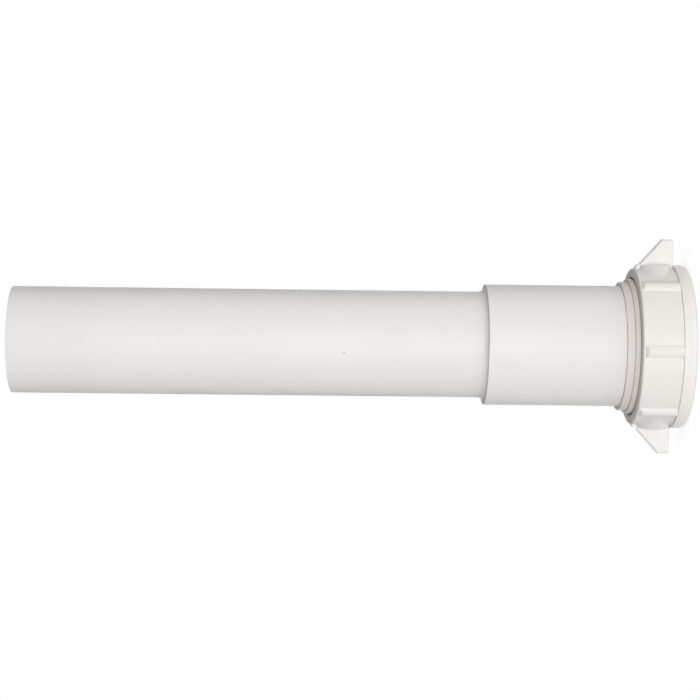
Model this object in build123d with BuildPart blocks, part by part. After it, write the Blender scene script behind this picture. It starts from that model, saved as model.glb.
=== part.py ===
from build123d import *
import os
from math import radians, sqrt, tan

os.makedirs("parts", exist_ok=True)

# A slip-joint drain extension tube. It stands on the flat end of its winged slip nut, with its plain
# spigot up. The origin is on its axis, at the foot of the nut. Sizes are in millimetres.

# Plain spigot, the end that slips into the next fitting
tube_od = 31.75
tube_wall = 1.6
spigot_length = 140.9
spigot_edge_round = 0.4

# Bell socket, which takes a tube of the same outside diameter
slip_clearance = 0.3
socket_wall = 1.9
socket_length = 40.4
step_fillet = 1.75
step_edge_round = 0.25
stop_ledge_depth = 1.6
stop_lead_in = 0.8

# Collar and threaded end of the socket
collar_height = 1.25
collar_width = 2.2
collar_edge_round = 0.35
thread_shoulder_height = 0.95
thread_shoulder_width = 2.2
thread_depth = 1.2
thread_runout = 1.2
mouth_land = 0.7

# Slip nut body, a round grip between a rounded shoulder and a rim
nut_length = 16.0
nut_collar_gap = 1.4
nut_thread_clearance = 0.35
nut_wall = 2.8
nut_thread_lead = 0.4
nut_lip = 2.2
lip_clearance = 0.6
lip_chamfer = 0.6
shoulder_length = 0.6
shoulder_rise = 2.0
rim_width = 3.8
rim_height = 1.1
rim_round = 1.5

# Ribs along the grip, the same set on both sides of the wings
ribs_a_side = 3
rib_spacing = 52.5
rib_radius = 2.3
rib_sink = 0.1
rib_setback = 0.9

# Wings of the slip nut, one at each end of a diameter, each on an arched root pad
wing_reach = 7.7
wing_tip_width = 3.5
wing_slant = 48.0
wing_thickness = 2.8
wing_edge_round = 0.7
wing_foot_inset = 0.6
wing_foot_length = 1.6
wing_rim_lap = 0.3
root_pad_half_width = 5.2
root_pad_spread = 5.4
root_pad_depth = 3.6
root_pad_margin = 0.2

# Bevelled sealing washer, held between the lip of the nut and the mouth of the socket
washer_clearance = 0.1
washer_flange = 1.8
washer_nut_clearance = 1.0
washer_nose_land = 0.5
washer_seat_gap = 0.3
flange_mouth_gap = 0.8

# Radii worked out from the walls and fits
tube_radius = tube_od / 2
bore_radius = tube_radius - tube_wall
socket_bore_radius = tube_radius + slip_clearance
socket_radius = socket_bore_radius + socket_wall
collar_radius = socket_radius + collar_height
thread_radius = collar_radius + thread_shoulder_height
thread_root_radius = thread_radius - thread_depth
mouth_bevel_radius = thread_root_radius - mouth_land
nut_bore_radius = thread_radius + nut_thread_clearance
lip_hole_radius = tube_radius + lip_clearance
grip_radius = nut_bore_radius + nut_wall
shoulder_radius = grip_radius - shoulder_rise
rim_radius = grip_radius + rim_height
rib_crest_radius = rim_radius - rib_sink
wing_tip_radius = rim_radius + wing_reach
pad_foot_radius = rib_crest_radius - root_pad_depth
washer_bore_radius = tube_radius + washer_clearance
washer_radius = nut_bore_radius - washer_nut_clearance

# Heights worked out from the lengths, from the foot of the nut up
seat_z = nut_lip
rim_z = rim_width
flange_z = seat_z + washer_flange
mouth_z = flange_z + flange_mouth_gap
mouth_bevel_z = mouth_z + mouth_bevel_radius - socket_bore_radius
nut_top_z = nut_length
shoulder_z = nut_top_z - shoulder_length
rib_top_z = nut_top_z - rib_setback
thread_z = nut_top_z + nut_collar_gap
runout_z = thread_z - thread_shoulder_width
collar_z = thread_z + collar_width
step_z = collar_z + socket_length
stop_z = step_z - stop_ledge_depth
top_z = step_z + spigot_length


def corner(profile, radius, height):
    """The corner of a turned profile at a radius and a height."""
    return profile.vertices().sort_by_distance((radius, height, 0))[0]


# One moulding: spigot, step, bell socket, collar and the end that carries the thread
with BuildPart() as extension_tube:
    with BuildSketch(Plane.XZ) as tube_profile:
        with BuildLine():
            Polyline(
                (bore_radius, top_z),
                (tube_radius, top_z),
                (tube_radius, step_z),
                (socket_radius, step_z),
                (socket_radius, collar_z),
                (collar_radius, collar_z),
                (collar_radius, thread_z),
                (thread_radius, thread_z),
                (thread_radius, runout_z),
                (thread_root_radius, runout_z - thread_runout),
                (thread_root_radius, mouth_z),
                (mouth_bevel_radius, mouth_z),
                (socket_bore_radius, mouth_bevel_z),
                (socket_bore_radius, stop_z),
                (bore_radius, stop_z + stop_lead_in),
                close=True,
            )
        make_face()
        fillet(corner(tube_profile, tube_radius, top_z), spigot_edge_round)
        fillet(corner(tube_profile, tube_radius, step_z), step_fillet)
        fillet(corner(tube_profile, socket_radius, step_z), step_edge_round)
        fillet(corner(tube_profile, collar_radius, collar_z), collar_edge_round)
        fillet(corner(tube_profile, thread_radius, thread_z), collar_edge_round)
    revolve(axis=Axis.Z)
extension_tube.part.label = "extension_tube"

# One wing: a plate with a slanted upper edge and a rounded foot, standing on its arched root pad
wing_base_z = rim_z - wing_rim_lap
wing_tip_z = wing_base_z + wing_tip_width
wing_heel_z = nut_top_z - wing_foot_inset
wing_foot_z = wing_heel_z - wing_foot_length
wing_foot_radius = wing_tip_radius - (wing_foot_z - wing_tip_z) * tan(radians(wing_slant))
pad_centre_z = (rim_z + wing_foot_z) / 2
pad_half_length = (wing_foot_z - rim_z) / 2 - root_pad_margin

with BuildPart() as wing:
    with BuildSketch(Plane.XZ):
        with BuildLine():
            EllipticalCenterArc(
                (shoulder_radius, wing_foot_z),
                wing_foot_radius - shoulder_radius,
                wing_foot_length,
                start_angle=0,
                arc_size=90,
            )
            Polyline(
                (wing_foot_radius, wing_foot_z),
                (wing_tip_radius, wing_tip_z),
                (wing_tip_radius, wing_base_z),
                (shoulder_radius, wing_base_z),
                (shoulder_radius, wing_heel_z),
            )
        make_face()
    extrude(amount=wing_thickness / 2, both=True)
    wing_outline = wing.edges().filter_by(Plane.XZ).filter_by(lambda edge: edge.center().X > rim_radius)
    fillet(wing_outline, wing_edge_round)
    with BuildSketch(Plane.YZ.offset(pad_foot_radius)):
        with Locations((0, pad_centre_z)):
            Ellipse(root_pad_half_width + root_pad_spread, pad_half_length)
    with BuildSketch(Plane.YZ.offset(rib_crest_radius)):
        with Locations((0, pad_centre_z)):
            Ellipse(root_pad_half_width, pad_half_length)
    loft()

# The nut: bevel-ended ribs, then the turned grip and rim, the two wings, the bore and the lip
rib_fan = rib_spacing * (ribs_a_side - 1)

with BuildPart() as slip_nut:
    with BuildSketch(Plane.XY.offset(rim_round)):
        for side in (90, 270):
            with PolarLocations(
                rib_crest_radius - rib_radius,
                ribs_a_side,
                start_angle=side - rib_fan / 2,
                angular_range=rib_fan,
                endpoint=True,
            ):
                Circle(rib_radius)
    extrude(amount=nut_length - rim_round)
    with BuildSketch(Plane.XZ):
        with BuildLine():
            Polyline(
                (0, 0),
                (rim_radius, 0),
                (rim_radius, rib_top_z - rim_height),
                (grip_radius, rib_top_z),
                (0, rib_top_z),
                close=True,
            )
        make_face()
    revolve(axis=Axis.Z, mode=Mode.INTERSECT)
    with BuildSketch(Plane.XZ) as grip_profile:
        with BuildLine():
            EllipticalCenterArc(
                (shoulder_radius, shoulder_z),
                shoulder_rise,
                shoulder_length,
                start_angle=0,
                arc_size=90,
            )
            Polyline(
                (grip_radius, shoulder_z),
                (grip_radius, rim_z),
                (rim_radius, rim_z),
                (rim_radius, 0),
                (0, 0),
                (0, nut_top_z),
                (shoulder_radius, nut_top_z),
            )
        make_face()
        fillet(corner(grip_profile, rim_radius, 0), rim_round)
    revolve(axis=Axis.Z)
    with PolarLocations(0, 2):
        add(wing.part)
    with BuildSketch(Plane.XZ):
        with BuildLine():
            Polyline(
                (0, 0),
                (lip_hole_radius + lip_chamfer, 0),
                (lip_hole_radius, lip_chamfer),
                (lip_hole_radius, seat_z),
                (nut_bore_radius, seat_z),
                (nut_bore_radius, nut_top_z - nut_thread_lead),
                (nut_bore_radius + nut_thread_lead, nut_top_z),
                (0, nut_top_z),
                close=True,
            )
        make_face()
    revolve(axis=Axis.Z, mode=Mode.SUBTRACT)
slip_nut.part.label = "slip_nut"

# The washer: a flat flange on the lip of the nut and a bevelled nose that follows the mouth bevel
nose_root_radius = mouth_bevel_radius + flange_mouth_gap - washer_seat_gap * sqrt(2)
nose_tip_radius = washer_bore_radius + washer_nose_land
nose_tip_z = flange_z + nose_root_radius - nose_tip_radius

with BuildPart() as slip_washer:
    with BuildSketch(Plane.XZ):
        with BuildLine():
            Polyline(
                (washer_bore_radius, seat_z),
                (washer_radius, seat_z),
                (washer_radius, flange_z),
                (nose_root_radius, flange_z),
                (nose_tip_radius, nose_tip_z),
                (washer_bore_radius, nose_tip_z),
                close=True,
            )
        make_face()
    revolve(axis=Axis.Z)
slip_washer.part.label = "slip_washer"

for piece in (extension_tube, slip_nut, slip_washer):
    export_step(piece.part, f"parts/{piece.part.label}.step")
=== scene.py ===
"""Looks of a plastic drain extension tube with a winged slip nut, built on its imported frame."""

from math import cos, radians, sin, tau
from typing import NamedTuple

import bmesh
import bpy
from bpy.props import FloatProperty, FloatVectorProperty, IntProperty, PointerProperty
from mathutils import Matrix, Vector


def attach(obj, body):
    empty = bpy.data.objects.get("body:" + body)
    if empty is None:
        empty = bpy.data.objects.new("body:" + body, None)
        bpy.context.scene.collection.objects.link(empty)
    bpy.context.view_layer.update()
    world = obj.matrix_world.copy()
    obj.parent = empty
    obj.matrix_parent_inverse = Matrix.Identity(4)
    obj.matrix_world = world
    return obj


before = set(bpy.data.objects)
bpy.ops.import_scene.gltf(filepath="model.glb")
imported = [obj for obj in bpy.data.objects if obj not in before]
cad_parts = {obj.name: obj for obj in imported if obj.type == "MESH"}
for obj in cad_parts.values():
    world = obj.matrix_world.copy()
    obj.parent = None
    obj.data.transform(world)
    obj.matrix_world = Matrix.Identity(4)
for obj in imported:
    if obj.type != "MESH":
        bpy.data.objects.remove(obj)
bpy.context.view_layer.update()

bl_info = {
    "name": "Drain Extension Tube",
    "version": (1, 0, 0),
    "blender": (4, 5, 0),
    "location": "View3D > Sidebar > Drain Tube",
    "description": "Dresses a slip-joint drain extension tube and sets it on a white stage",
    "category": "Object",
}

MM = 0.001
WHITE = (1.0, 1.0, 1.0)
WARM = (1.0, 0.93, 0.9)


def mm(*sizes):
    """Sizes in millimetres as metres."""
    return tuple(size * MM for size in sizes)


class Mark(NamedTuple):
    """A small mark in a moulding. Its depth is below 0 where it is raised."""

    centre: tuple
    size: tuple
    soil_and_shade: float
    depth: float


class Ring(NamedTuple):
    """A ring of painted shade round the axis, with stops of shade from its low edge to its high one."""

    low: float
    high: float
    stops: tuple


class Lamp(NamedTuple):
    """An area lamp that points from its place to its aim."""

    name: str
    place: tuple
    aim: tuple
    size: tuple
    tint: tuple = WHITE
    in_gloss: bool = True


# A nick in the spigot, the burr beside it, a bump and a smudge
TUBE_MARKS = (
    Mark(mm(-1.98, -15.75, 102.3), mm(0.28, 1.0, 0.5), soil_and_shade=0.5, depth=1.0),
    Mark(mm(-2.7, -15.64, 101.3), mm(0.3, 1.0, 0.45), soil_and_shade=0.0, depth=-1.2),
    Mark(mm(-1.15, -15.83, 93.4), mm(0.4, 1.0, 0.5), soil_and_shade=0.0, depth=-1.0),
    Mark(mm(-7.8, -13.83, 124.6), mm(0.9, 1.0, 0.8), soil_and_shade=0.05, depth=0.1),
)

# Painted shade round the joint: in the gap above the nut, on the thread shoulder and the collar that the nut
# shades, warm brown, and fading up the socket
JOINT_PAINTED_SHADE = Ring(
    low=13.0 * MM,
    high=26.0 * MM,
    stops=(
        (0.0, 0.0),
        (0.11, 0.3),
        (0.22, 0.3),
        (0.27, 0.42),
        (0.335, 0.34),
        (0.345, 0.27),
        (0.5, 0.22),
        (0.52, 0.1),
        (1.0, 0.0),
    ),
)

# Painted shade in the corner where the spigot meets the socket, and on the top edge of the nut
STEP_PAINTED_SHADE = Ring(low=59.8 * MM, high=64.8 * MM, stops=((0.0, 0.0), (0.02, 0.14), (0.35, 0.14), (1.0, 0.0)))
EDGE_PAINTED_SHADE = Ring(low=14.8 * MM, high=16.4 * MM, stops=((0.0, 0.0), (0.33, 0.05), (0.45, 0.4), (1.0, 0.5)))

# How the colour and the gloss of the mouldings vary
DRIFT_SHARE = 0.65
STREAK_SHARE = 0.35
# Painted shade in the rings varies in patches between these shares
LEAST_PAINTED_SHADE = 0.8
PAINTED_SHADE_PATCHES = 0.4
MARK_RAGGEDNESS = 1.1
DUST_STRENGTH = 0.2
DUST_DEPTH = 0.3
DRIFT_GLOSS = 0.10
SKIN_GLOSS = 0.08
WORN_GLOSS = 0.2
NOISE_MIDDLE = 0.5

# Heights of the relief in the mouldings' skin, and how strongly it shows
SKIN_HEIGHT = 0.006 * MM
RIPPLE_HEIGHT = 0.04 * MM
PIT_DEPTH = 0.12 * MM
RELIEF_STRENGTH = 0.55

# Cloudiness and turning rings of the washer
WASHER_ROUGHNESS = 0.38
WASHER_GLOSS = 0.12
WASHER_SHADE = 0.93
TURNING_HEIGHT = 0.02 * MM

# Tolerances, for vertices on the start plane, vertices at one radius, and vertices that are welded
ON_PLANE = 1e-9
SAME_RADIUS = 0.1 * MM
WELD = 0.001 * MM

# The floor lies just under the part, and the table lamp just over the floor
FLOOR_HALF_WIDTH = 4.0
FLOOR_HEIGHT = -0.05 * MM
TABLE_LAMP_HEIGHT = -0.03 * MM
SHADOW_REACH = 45.0 * MM
SHADOW_TONE = (0.3, 0.29, 0.28)
PAPER_TONES = ((0.82, 0.82, 0.82), (0.80, 0.80, 0.80))

# What the area lamps point at, and the lamps under the names of their power settings
LAMP_AIM = (0.0, 0.0, 0.08)
LAMPS = {
    "key": Lamp("key_lamp", (0.0, -0.75, 0.06), LAMP_AIM, (0.5, 0.12)),
    "left": Lamp("left_lamp", (-0.95, -0.05, 0.08), LAMP_AIM, (0.5, 0.24), tint=WARM),
    "right": Lamp("right_lamp", (0.95, -0.05, 0.08), LAMP_AIM, (0.5, 0.24), tint=WARM),
    "back": Lamp("back_lamp", (0.0, 0.75, 0.06), LAMP_AIM, (0.5, 0.12), in_gloss=False),
    "over": Lamp("upper_lamp", (0.0, 0.05, 1.2), LAMP_AIM, (0.9, 0.9)),
    "table": Lamp("table_lamp", (0.0, -0.1, TABLE_LAMP_HEIGHT), (0.0, -0.1, 1.0), (0.9, 0.9)),
}
MOUTH_LAMP_RADIUS = 1.0 * MM
MOUTH_LAMP_BLEND = 0.1

CLIP_NEAR = 0.01
CLIP_FAR = 50.0

# Sockets of a Mix node that mixes colours
MIX_FACTOR, MIX_FIRST, MIX_SECOND, MIX_RESULT = 0, 6, 7, 2


def length(name, description, millimetres):
    """A size that a user may change, given here in millimetres."""
    return FloatProperty(
        name=name,
        description=description,
        default=millimetres * MM,
        precision=5,
        subtype="DISTANCE",
        unit="LENGTH",
    )


def angle(name, description, degrees):
    """An angle that a user may change, given here in degrees."""
    return FloatProperty(
        name=name,
        description=description,
        default=radians(degrees),
        subtype="ANGLE",
        unit="ROTATION",
    )


def colour(name, description, rgb):
    """A linear colour that a user may change."""
    return FloatVectorProperty(
        name=name,
        description=description,
        default=rgb,
        size=3,
        min=0.0,
        max=1.0,
        subtype="COLOR",
    )


def power(name, description, watts):
    """A lamp's power."""
    return FloatProperty(name=name, description=description, default=watts, min=0.0, unit="POWER")


def share(name, description, default):
    """A number from 0 to 1 that a user may change."""
    return FloatProperty(name=name, description=description, default=default, min=0.0, max=1.0)


class DrainThreadSettings(bpy.types.PropertyGroup):
    """Sizes of the pipe thread between the socket and the slip nut"""

    pitch: length("Pitch", "Travel of the nut in one turn", 2.2087)
    flank_foot: length("Foot width", "Width of a ridge where it meets its wall", 1.3)
    flank_crest: length("Crest width", "Width of a ridge at its crest", 0.5)
    sink: length("Sink", "How far a ridge reaches into the wall that carries it", 0.12)
    socket_root: length("Socket root radius", "Radius of the socket wall under the ridges", 19.075)
    socket_crest: length("Socket crest radius", "Radius of the socket's ridges", 20.275)
    socket_start: length("Socket start", "Height of the first ridge of the socket", 5.7)
    socket_turns: FloatProperty(name="Socket turns", description="Turns of the socket's ridge", default=3.7)
    nut_root: length("Nut root radius", "Radius of the nut's bore behind the ridges", 20.625)
    nut_crest: length("Nut crest radius", "Radius of the nut's ridges", 19.75)
    nut_turns: FloatProperty(name="Nut turns", description="Turns of the nut's ridge", default=4.1)
    steps_a_turn: IntProperty(name="Steps a turn", description="Segments in one turn", default=96, min=24)


class DrainFinishSettings(bpy.types.PropertyGroup):
    """Colours and gloss of the mouldings"""

    tube: colour("Tube", "Satin plastic of the tube", (0.84, 0.83, 0.818))
    tube_shade: colour("Tube shade", "Darker drift in the plastic of the tube", (0.82, 0.808, 0.793))
    tube_roughness: share("Tube roughness", "Roughness of the tube's surface", 0.5)
    nut: colour("Nut", "Satin plastic of the nut", (0.864, 0.847, 0.824))
    nut_shade: colour("Nut shade", "Darker drift in the plastic of the nut", (0.84, 0.818, 0.79))
    nut_roughness: share("Nut roughness", "Roughness of the nut's surface", 0.48)
    washer: colour("Washer", "Waxy plastic of the washer", (0.80, 0.80, 0.785))
    grime: colour("Grime", "Dust and marks on the mouldings", (0.22, 0.19, 0.16))
    # The colour of the painted shade in the joint and the corners, a warm brown-grey; the marks' darkness
    # shares this name
    soil_and_shade: colour("Soil", "Brown film in the joint and the corners", (0.445, 0.36, 0.305))


class DrainStageSettings(bpy.types.PropertyGroup):
    """Camera, lamps and floor"""

    distance: length("Camera distance", "From the camera to the axis of the tube", 610.0)
    view_width: length("View width", "What the camera takes in at the axis", 209.9)
    aim_height: length("Aim height", "Height on the axis at the middle of the view", 100.1)
    aim_side: length("Aim side", "How far the middle of the view lies beside the axis", -2.1)
    turn: angle("Turn", "Turn of the camera round the tube from the front", 3.7)
    lift: angle("Lift", "Rise of the camera towards the spigot", 1.75)
    roll: angle("Roll", "Roll of the camera about its view", 0.65)
    key: power("Key lamp", "Wide, low lamp in front of the tube", 4.45)
    left: power("Left lamp", "Low lamp on the left of the tube", 0.7)
    right: power("Right lamp", "Low lamp on the right of the tube", 1.3)
    back: power("Back lamp", "Wide, low lamp behind the tube", 3.8)
    over: power("Upper lamp", "Wide lamp over the tube", 0.35)
    mouth: power("Mouth lamp", "Narrow lamp on the axis, over the mouth of the spigot", 1.55)
    mouth_height: length("Mouth lamp height", "Height of the mouth lamp", 450.0)
    mouth_cone: angle("Mouth lamp cone", "Full angle of the mouth lamp's beam", 7.6)
    table: power("Table lamp", "Even glow of the table that the tube stands on", 0.52)
    ambient: share("Ambient", "Even light from all round", 0.01)


class Wire:
    """A value socket of a shader tree that takes part in Python arithmetic."""

    def __init__(self, finish, socket):
        self.finish = finish
        self.socket = socket

    def combine(self, operation, first, second):
        return self.finish.node("ShaderNodeMath", {"operation": operation}, {0: first, 1: second}, "Value")

    def __add__(self, other):
        return self.combine("ADD", self, other)

    def __radd__(self, other):
        return self.combine("ADD", other, self)

    def __sub__(self, other):
        return self.combine("SUBTRACT", self, other)

    def __rsub__(self, other):
        return self.combine("SUBTRACT", other, self)

    def __mul__(self, other):
        return self.combine("MULTIPLY", self, other)

    def __rmul__(self, other):
        return self.combine("MULTIPLY", other, self)

    def __truediv__(self, other):
        return self.combine("DIVIDE", self, other)

    def at_most(self, other):
        return self.combine("MINIMUM", self, other)

    def at_least(self, other):
        return self.combine("MAXIMUM", self, other)


class Finish:
    """A node tree under construction."""

    def __init__(self, tree):
        self.tree = tree
        self.tree.nodes.clear()

    def node(self, kind, settings=None, sockets=None, output=0):
        """Adds a node: its settings first, then the values or links of its sockets."""
        made = self.tree.nodes.new(kind)
        for name, value in (settings or {}).items():
            if name == "stops":
                self.set_stops(made.color_ramp, value)
            else:
                setattr(made, name, value)
        for name, value in (sockets or {}).items():
            self.feed(made.inputs[name], value)
        return Wire(self, made.outputs[output]) if made.outputs else made

    def feed(self, socket, value):
        if isinstance(value, Wire):
            self.tree.links.new(value.socket, socket)
        else:
            socket.default_value = value

    def set_stops(self, ramp, stops):
        while len(ramp.elements) < len(stops):
            ramp.elements.new(1.0)
        for element, (position, grey) in zip(ramp.elements, stops):
            element.position = position
            element.color = (grey, grey, grey, 1.0)

    def ramp(self, value, *stops):
        return self.node("ShaderNodeValToRGB", {"stops": stops}, {"Fac": value}, "Color")

    def mix(self, factor, first, second):
        """Mixes two colours, each an rgb or a wire."""
        settings = {"data_type": "RGBA", "clamp_factor": True}
        sockets = {MIX_FACTOR: factor, MIX_FIRST: full(first), MIX_SECOND: full(second)}
        return self.node("ShaderNodeMix", settings, sockets, MIX_RESULT)

    def blend(self, factor, first, second):
        """Mixes two shaders."""
        return self.node("ShaderNodeMixShader", {}, {0: factor, 1: first, 2: second})

    def place(self):
        return self.node("ShaderNodeTexCoord", output="Object")

    def stretched(self, scale):
        return self.node("ShaderNodeMapping", {}, {"Vector": self.place(), "Scale": scale})

    def noise(self, vector, scale, detail, roughness=0.55):
        sockets = {"Vector": vector, "Scale": scale, "Detail": detail, "Roughness": roughness}
        return self.node("ShaderNodeTexNoise", {}, sockets, "Fac")

    def arithmetic(self, operation, output, *vectors):
        """Adds a vector operation."""
        return self.node("ShaderNodeVectorMath", {"operation": operation}, dict(enumerate(vectors)), output)

    def bump(self, height, distance, strength):
        return self.node("ShaderNodeBump", {}, {"Height": height, "Distance": distance, "Strength": strength})

    def plastic(self, sockets):
        """Ends a material's tree with a Principled shader."""
        shader = self.node("ShaderNodeBsdfPrincipled", {}, sockets, "BSDF")
        self.node("ShaderNodeOutputMaterial", {}, {"Surface": shader})


def full(value):
    """An rgb as the four numbers of a colour socket; a wire as it is."""
    return value if isinstance(value, Wire) else (*value, 1.0)


def new_material(name):
    material = bpy.data.materials.new(name)
    material.use_nodes = True
    return material


def nick(finish, place, mark):
    """1 inside a small ragged mark and 0 outside it."""
    offset = finish.arithmetic("SUBTRACT", "Vector", place, mark.centre)
    scaled = finish.arithmetic("DIVIDE", "Vector", offset, mark.size)
    reach = finish.arithmetic("LENGTH", "Value", scaled)
    rough = finish.noise(place, scale=3200.0, detail=2.0) - NOISE_MIDDLE
    return finish.ramp(reach + rough * MARK_RAGGEDNESS, (0.45, 1.0), (1.0, 0.0))


def ring_shade(finish, place, ring):
    """How much painted shade lies on a ring round the axis, in uneven patches."""
    height = finish.node("ShaderNodeSeparateXYZ", {}, {0: place}, "Z")
    patches = LEAST_PAINTED_SHADE + PAINTED_SHADE_PATCHES * finish.noise(place, scale=240.0, detail=3.0)
    return finish.ramp((height - ring.low) / (ring.high - ring.low), *ring.stops) * patches


def dusting(finish, place):
    """Sparse specks of dust, in a few drifts."""
    sockets = {"Vector": place, "Scale": 160.0, "Randomness": 1.0}
    specks = finish.node("ShaderNodeTexVoronoi", {"feature": "F1"}, sockets, "Distance")
    drifts = finish.ramp(finish.noise(place, scale=95.0, detail=1.0), (0.66, 0.0), (0.72, 1.0))
    return finish.ramp(specks, (0.03, 1.0), (0.06, 0.0)) * drifts * DUST_STRENGTH


def moulded_plastic(name, colours, base, shade, roughness, rings, marks=()):
    """Satin injection-moulded plastic: slow drifts of colour, flow streaks along the axis, a fine
    skin texture, sparse dust, painted shade in the rings given and any small marks given."""
    material = new_material(name)
    finish = Finish(material.node_tree)
    place = finish.place()
    drift = finish.noise(place, scale=26.0, detail=2.0)
    streak = finish.noise(finish.stretched((140.0, 140.0, 9.0)), scale=1.0, detail=3.0)
    cloud = finish.ramp(DRIFT_SHARE * drift + STREAK_SHARE * streak, (0.36, 0.0), (0.66, 1.0))
    body = finish.mix(cloud, base, shade)
    # Painted shade in the rings, mixed towards the shade colour
    painted_shade_body = finish.mix(sum(ring_shade(finish, place, ring) for ring in rings), body, colours.soil_and_shade)
    worn = dusting(finish, place)
    pit = worn * DUST_DEPTH
    for mark in marks:
        spot = nick(finish, place, mark)
        worn = worn.at_least(spot * mark.soil_and_shade)
        pit = pit + spot * mark.depth
    skin = finish.noise(place, scale=1500.0, detail=2.0)
    ripple = finish.noise(place, scale=70.0, detail=2.0)
    relief = skin * SKIN_HEIGHT + ripple * RIPPLE_HEIGHT - pit * PIT_DEPTH
    uneven = DRIFT_GLOSS * (drift - NOISE_MIDDLE) + SKIN_GLOSS * (skin - NOISE_MIDDLE)
    finish.plastic(
        {
            "Base Color": finish.mix(worn, painted_shade_body, colours.grime),
            "Roughness": roughness + uneven + WORN_GLOSS * worn,
            "Normal": finish.bump(relief, distance=1.0, strength=RELIEF_STRENGTH),
            "Diffuse Roughness": 0.3,
            "IOR": 1.49,
            "Specular IOR Level": 0.3,
        }
    )
    return material


def waxy_plastic(name, base):
    """Soft polyethylene of a sealing washer: cloudy, a little glossy, with fine turning rings."""
    material = new_material(name)
    finish = Finish(material.node_tree)
    place = finish.place()
    cloud = finish.noise(place, scale=120.0, detail=3.0)
    darker = tuple(WASHER_SHADE * part for part in base)
    rings = finish.node(
        "ShaderNodeTexWave",
        {"wave_type": "RINGS", "rings_direction": "Z"},
        {"Vector": place, "Scale": 420.0, "Distortion": 1.5},
        "Fac",
    )
    finish.plastic(
        {
            "Base Color": finish.mix(cloud, base, darker),
            "Roughness": WASHER_ROUGHNESS + WASHER_GLOSS * (cloud - NOISE_MIDDLE),
            "Normal": finish.bump(rings, distance=TURNING_HEIGHT, strength=0.5),
            "IOR": 1.51,
        }
    )
    return material


def dress(node, material):
    """Gives a CAD node its finish."""
    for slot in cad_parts[node].material_slots:
        slot.material = material


def new_piece(name, mesh_maker):
    """An object at the origin whose mesh the maker shapes."""
    shape = bmesh.new()
    mesh_maker(shape)
    mesh = bpy.data.meshes.new(name)
    shape.to_mesh(mesh)
    shape.free()
    mesh.shade_smooth()
    piece = bpy.data.objects.new(name, mesh)
    bpy.context.scene.collection.objects.link(piece)
    return piece


def ridge(shape, settings, wall, crest, start, turns):
    """A helical ridge: a tapered tooth section, screwed up round the axis, that sinks into its wall
    at both ends."""
    outward = 1.0 if crest > wall else -1.0
    foot = wall - outward * settings.sink
    half_foot = settings.flank_foot / 2
    half_crest = settings.flank_crest / 2
    outline = (
        (foot, start - half_foot),
        (crest, start - half_crest),
        (crest, start + half_crest),
        (foot, start + half_foot),
    )
    section = shape.faces.new([shape.verts.new((radius, 0.0, height)) for radius, height in outline])
    steps = round(turns * settings.steps_a_turn)
    spun = bmesh.ops.spin(
        shape,
        geom=[section, *section.edges, *section.verts],
        cent=(0.0, 0.0, 0.0),
        axis=(0.0, 0.0, 1.0),
        dvec=(0.0, 0.0, settings.pitch * turns / steps),
        angle=turns * tau,
        steps=steps,
    )
    half_pitch = settings.pitch / 2
    last = [item for item in spun["geom_last"] if isinstance(item, bmesh.types.BMVert)]
    first = [vert for vert in shape.verts if abs(vert.co.y) < ON_PLANE and abs(vert.co.z - start) < half_pitch]
    for end in (first, last):
        middle = sum((vert.co for vert in end), Vector()) / len(end)
        outer = max(end, key=lambda vert: outward * vert.co.xy.length)
        for vert in end:
            if abs(vert.co.xy.length - outer.co.xy.length) < SAME_RADIUS:
                vert.co.xy *= foot / vert.co.xy.length
                vert.co.z = middle.z
    bmesh.ops.remove_doubles(shape, verts=shape.verts, dist=WELD)
    bmesh.ops.recalc_face_normals(shape, faces=shape.faces)


def lay_sheet(shape):
    """A flat square just under the part."""
    bmesh.ops.create_grid(shape, x_segments=8, y_segments=8, size=FLOOR_HALF_WIDTH)
    bmesh.ops.translate(shape, verts=shape.verts, vec=(0.0, 0.0, FLOOR_HEIGHT))


class DRAIN_OT_dress_tube(bpy.types.Operator):
    """Give the tube its satin plastic, with painted shade in its corners and round the joint, and small marks
    on its spigot
    """

    bl_idname = "drain.dress_tube"
    bl_label = "Dress tube"

    def execute(self, context):
        colours = context.scene.drain_finish
        material = moulded_plastic(
            "tube_satin_plastic",
            colours,
            colours.tube,
            colours.tube_shade,
            colours.tube_roughness,
            rings=(JOINT_PAINTED_SHADE, STEP_PAINTED_SHADE),
            marks=TUBE_MARKS,
        )
        dress("extension_tube", material)
        return {"FINISHED"}


class DRAIN_OT_dress_nut(bpy.types.Operator):
    """Give the slip nut its satin plastic, with painted shade on its top edge"""

    bl_idname = "drain.dress_nut"
    bl_label = "Dress nut"

    def execute(self, context):
        colours = context.scene.drain_finish
        material = moulded_plastic(
            "nut_satin_plastic",
            colours,
            colours.nut,
            colours.nut_shade,
            colours.nut_roughness,
            rings=(EDGE_PAINTED_SHADE,),
        )
        dress("slip_nut", material)
        return {"FINISHED"}


class DRAIN_OT_dress_washer(bpy.types.Operator):
    """Give the sealing washer its waxy plastic"""

    bl_idname = "drain.dress_washer"
    bl_label = "Dress washer"

    def execute(self, context):
        dress("slip_washer", waxy_plastic("washer_waxy_plastic", context.scene.drain_finish.washer))
        return {"FINISHED"}


class DRAIN_OT_cut_threads(bpy.types.Operator):
    """Screw the ridges of the thread round the socket and into the nut, in mesh with each other"""

    bl_idname = "drain.cut_threads"
    bl_label = "Cut threads"

    def execute(self, context):
        thread = context.scene.drain_thread
        nut_start = thread.socket_start - thread.pitch / 2
        socket = new_piece(
            "socket_thread",
            lambda shape: ridge(
                shape, thread, thread.socket_root, thread.socket_crest, thread.socket_start, thread.socket_turns
            ),
        )
        nut = new_piece(
            "nut_thread",
            lambda shape: ridge(shape, thread, thread.nut_root, thread.nut_crest, nut_start, thread.nut_turns),
        )
        for piece, body, slot, material in (
            (socket, "tube", "tube_plastic", "tube_satin_plastic"),
            (nut, "nut", "nut_plastic", "nut_satin_plastic"),
        ):
            piece.data.materials.append(bpy.data.materials[material])
            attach(piece, body)
        return {"FINISHED"}


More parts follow.
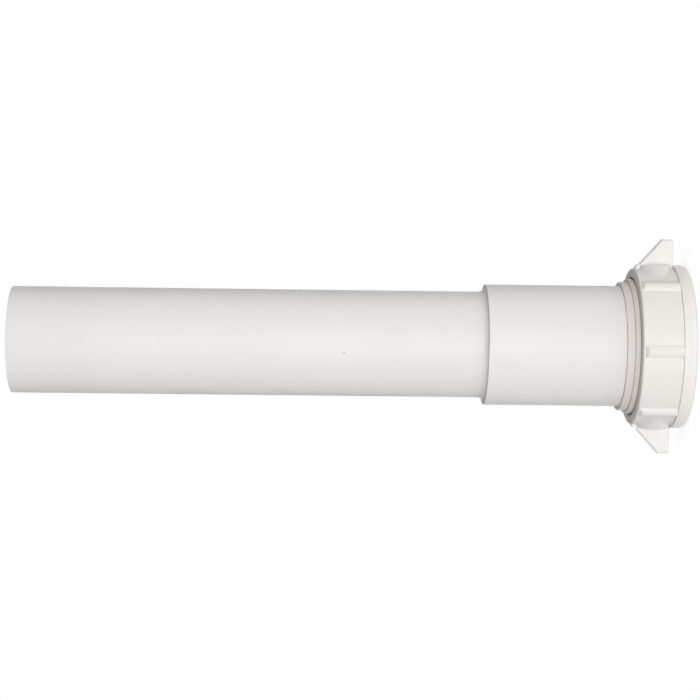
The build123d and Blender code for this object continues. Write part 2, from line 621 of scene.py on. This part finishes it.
class DRAIN_OT_set_stage(bpy.types.Operator):
    """Lay the white floor and set the lamps and the camera"""

    bl_idname = "drain.set_stage"
    bl_label = "Set stage"

    def execute(self, context):
        stage = context.scene.drain_stage
        self.lay_floor()
        self.set_world(context.scene, stage)
        self.set_camera(context.scene, stage)
        self.set_lamps(context.scene, stage)
        self.set_mouth_lamp(context.scene, stage)
        return {"FINISHED"}

    def seen(self, finish, *more):
        """1 for what the camera sees, straight or in a gloss, and for any more kinds of ray that are
        given, and 0 for light on its way."""
        path = finish.node("ShaderNodeLightPath", output="Is Camera Ray")
        kinds = ("Is Glossy Ray", "Is Transmission Ray", *more)
        return sum((Wire(finish, path.socket.node.outputs[kind]) for kind in kinds), path).at_most(1.0)

    def lay_floor(self):
        """A matt white floor that is clear to the camera and to the lamps, but for the part's shadow."""
        floor = new_piece("floor", lay_sheet)
        material = new_material("white_floor")
        finish = Finish(material.node_tree)
        paper = finish.noise(finish.place(), scale=30.0, detail=2.0)
        matt = finish.node("ShaderNodeBsdfDiffuse", {}, {"Color": finish.mix(paper, *PAPER_TONES)}, "BSDF")
        reach = finish.node("ShaderNodeAmbientOcclusion", {"samples": 8}, {"Distance": SHADOW_REACH}, "AO")
        shade = finish.ramp(reach, (0.1, 0.3), (0.5, 0.04), (0.8, 0.0))
        clear = finish.node("ShaderNodeBsdfTransparent")
        shadow = finish.node("ShaderNodeEmission", {}, {"Color": full(SHADOW_TONE)})
        shown = finish.blend(shade, clear, shadow)
        surface = finish.blend(self.seen(finish, "Is Shadow Ray"), matt, shown)
        finish.node("ShaderNodeOutputMaterial", {}, {"Surface": surface})
        floor.data.materials.append(material)

    def set_world(self, scene, stage):
        """A white room to the camera, and a faint even light on the part."""
        world = bpy.data.worlds.new("white_room")
        world.use_nodes = True
        scene.world = world
        finish = Finish(world.node_tree)
        seen = self.seen(finish)
        strength = seen + (1.0 - seen) * stage.ambient
        background = finish.node("ShaderNodeBackground", {}, {"Color": full(WHITE), "Strength": strength})
        finish.node("ShaderNodeOutputWorld", {}, {"Surface": background})

    def set_camera(self, scene, stage):
        """A camera on its side, so that the standing tube lies across the frame."""
        back = Vector(
            (sin(stage.turn) * cos(stage.lift), -cos(stage.turn) * cos(stage.lift), sin(stage.lift))
        )
        across = Vector((0.0, 0.0, -1.0))
        across = (across - across.dot(back) * back).normalized()
        upright = back.cross(across)
        across = Matrix.Rotation(stage.roll, 3, back) @ across
        upright = Matrix.Rotation(stage.roll, 3, back) @ upright
        aim = Vector((0.0, 0.0, stage.aim_height)) + upright * stage.aim_side
        data = bpy.data.cameras.new("camera")
        data.sensor_fit = "HORIZONTAL"
        data.lens = data.sensor_width * stage.distance / stage.view_width
        data.clip_start = CLIP_NEAR
        data.clip_end = CLIP_FAR
        camera = bpy.data.objects.new("camera", data)
        axes = Matrix((across, upright, back)).transposed()
        camera.matrix_world = Matrix.Translation(aim + back * stage.distance) @ axes.to_4x4()
        scene.collection.objects.link(camera)
        scene.camera = camera
        scene.view_settings.view_transform = "Standard"

    def set_lamps(self, scene, stage):
        """Wide lamps all round the part."""
        for setting, lamp in LAMPS.items():
            data = bpy.data.lights.new(lamp.name, "AREA")
            data.shape = "RECTANGLE"
            data.size, data.size_y = lamp.size
            data.energy = getattr(stage, setting)
            data.color = lamp.tint
            towards = Vector(lamp.aim) - Vector(lamp.place)
            turned = towards.to_track_quat("-Z", "Y").to_matrix().to_4x4()
            self.hang_lamp(scene, data, Matrix.Translation(lamp.place) @ turned, lamp.in_gloss)

    def set_mouth_lamp(self, scene, stage):
        """A narrow beam down the axis that lights the end and the bore of the spigot alone."""
        data = bpy.data.lights.new("mouth_lamp", "SPOT")
        data.energy = stage.mouth
        data.spot_size = stage.mouth_cone
        data.spot_blend = MOUTH_LAMP_BLEND
        data.shadow_soft_size = MOUTH_LAMP_RADIUS
        self.hang_lamp(scene, data, Matrix.Translation((0.0, 0.0, stage.mouth_height)), in_gloss=False)

    def hang_lamp(self, scene, data, matrix, in_gloss):
        lamp = bpy.data.objects.new(data.name, data)
        lamp.visible_camera = False
        lamp.visible_glossy = in_gloss
        lamp.matrix_world = matrix
        scene.collection.objects.link(lamp)


class DRAIN_PT_panel(bpy.types.Panel):
    """Sizes, finishes and stage of the drain tube"""

    bl_label = "Drain Extension Tube"
    bl_idname = "DRAIN_PT_panel"
    bl_space_type = "VIEW_3D"
    bl_region_type = "UI"
    bl_category = "Drain Tube"

    def draw(self, context):
        for title, group in (
            ("Thread", context.scene.drain_thread),
            ("Finish", context.scene.drain_finish),
            ("Stage", context.scene.drain_stage),
        ):
            box = self.layout.box()
            box.label(text=title)
            for name in group.__annotations__:
                box.prop(group, name)
        for operator in OPERATORS:
            self.layout.operator(operator.bl_idname)


GROUPS = (DrainThreadSettings, DrainFinishSettings, DrainStageSettings)
OPERATORS = (
    DRAIN_OT_dress_tube,
    DRAIN_OT_dress_nut,
    DRAIN_OT_dress_washer,
    DRAIN_OT_cut_threads,
    DRAIN_OT_set_stage,
)
CLASSES = (*GROUPS, *OPERATORS, DRAIN_PT_panel)


def register():
    for item in CLASSES:
        bpy.utils.register_class(item)
    bpy.types.Scene.drain_thread = PointerProperty(type=DrainThreadSettings)
    bpy.types.Scene.drain_finish = PointerProperty(type=DrainFinishSettings)
    bpy.types.Scene.drain_stage = PointerProperty(type=DrainStageSettings)


def unregister():
    del bpy.types.Scene.drain_stage
    del bpy.types.Scene.drain_finish
    del bpy.types.Scene.drain_thread
    for item in reversed(CLASSES):
        bpy.utils.unregister_class(item)


def main():
    register()
    bpy.ops.drain.dress_tube()
    bpy.ops.drain.dress_nut()
    bpy.ops.drain.dress_washer()
    bpy.ops.drain.cut_threads()
    bpy.ops.drain.set_stage()


if __name__ == "__main__":
    main()
